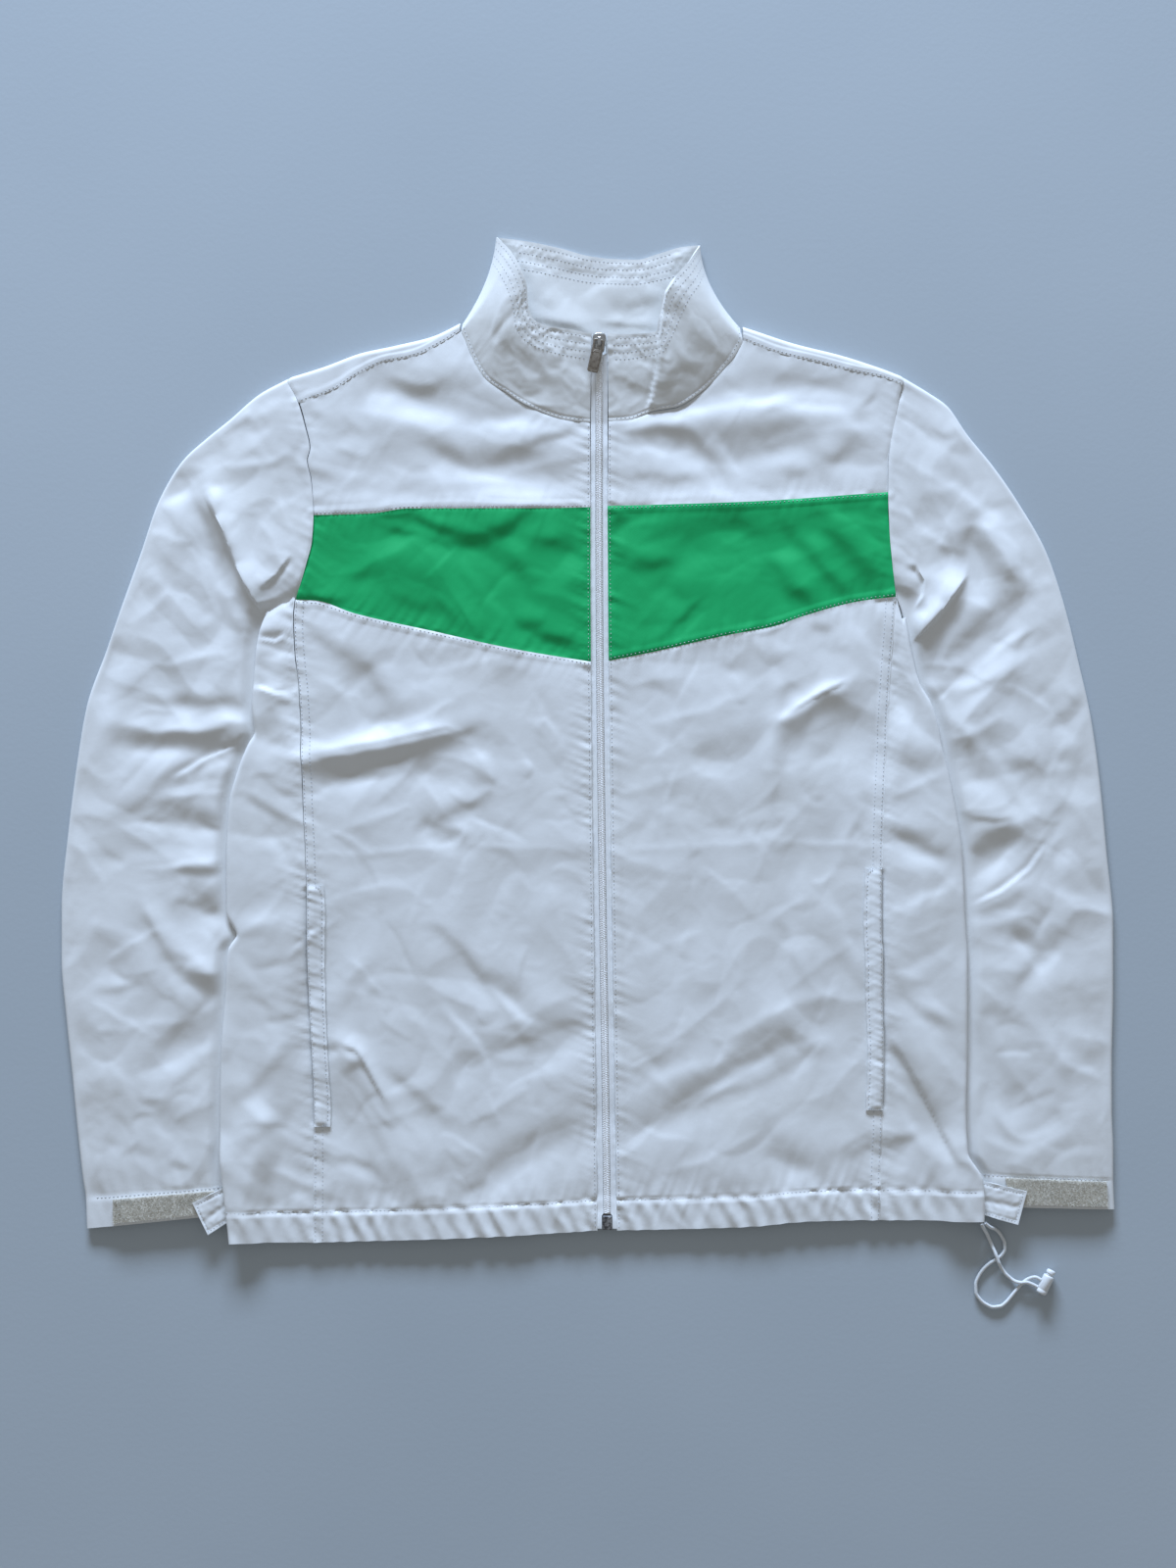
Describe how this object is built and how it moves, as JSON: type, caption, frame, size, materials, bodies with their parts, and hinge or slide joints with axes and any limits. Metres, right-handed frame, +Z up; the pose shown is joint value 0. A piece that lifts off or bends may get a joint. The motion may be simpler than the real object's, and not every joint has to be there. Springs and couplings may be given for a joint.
{
  "type": "zip-front track jacket",
  "caption": "Track jacket with a stand collar, zipped up and laid flat on its back, sleeves down, with chest bands, side pockets and a hem drawcord with its lock.",
  "frame": {"origin": "middle of the jacket's outline (its free cord left out), on the surface it lies on", "axes": "+X towards the wearer's left sleeve, +Y from the hem to the collar, +Z up, away from the surface"},
  "size_m": [0.826, 0.8404, 0.017],
  "materials": {
    "white_cloth": "woven, slight sheen",
    "green_cloth": "woven, slight sheen",
    "collar_cloth": "woven, slight sheen",
    "trim_cloth": "woven",
    "loop_tape": "fuzzy loops",
    "zip_tape": "herringbone tape",
    "zip_coil": "satin",
    "worn_metal": "worn nickel",
    "dark_metal": "worn dark",
    "elastic_cord": "braided",
    "white_plastic": "satin"
  },
  "bodies": {
    "jacket": {"yoke_right": "white_cloth", "yoke_left": "white_cloth", "chest_band_right": "green_cloth", "chest_band_left": "green_cloth", "front_right": "white_cloth", "front_left": "white_cloth", "side_panel_right": "white_cloth", "side_panel_left": "white_cloth", "sleeve_right": "white_cloth", "sleeve_left": "white_cloth", "back": "white_cloth", "collar": "collar_cloth", "pocket_welt_right": "trim_cloth", "pocket_welt_left": "trim_cloth", "cuff_tab_right": "trim_cloth", "cuff_tab_left": "trim_cloth", "loop_strip_right": "loop_tape", "loop_strip_left": "loop_tape", "zip_tape_right": "zip_tape", "zip_tape_left": "zip_tape", "zip_chain": "zip_coil", "zip_slider": "worn_metal", "zip_box": "dark_metal", "drawcord_over": "elastic_cord", "drawcord_under": "elastic_cord", "cord_lock_body": "white_plastic", "cord_lock_button": "white_plastic"},
    "pull": {"zip_pull": "worn_metal"}
  },
  "joints": [
    {"name": "pull_hinge", "type": "hinge", "parent": "jacket", "child": "pull", "pos_m": [0.00879, 0.31097, 0.01483], "axis": [-0.9763, 0.2164, 0], "range_deg": [0, 150]}
  ]
}
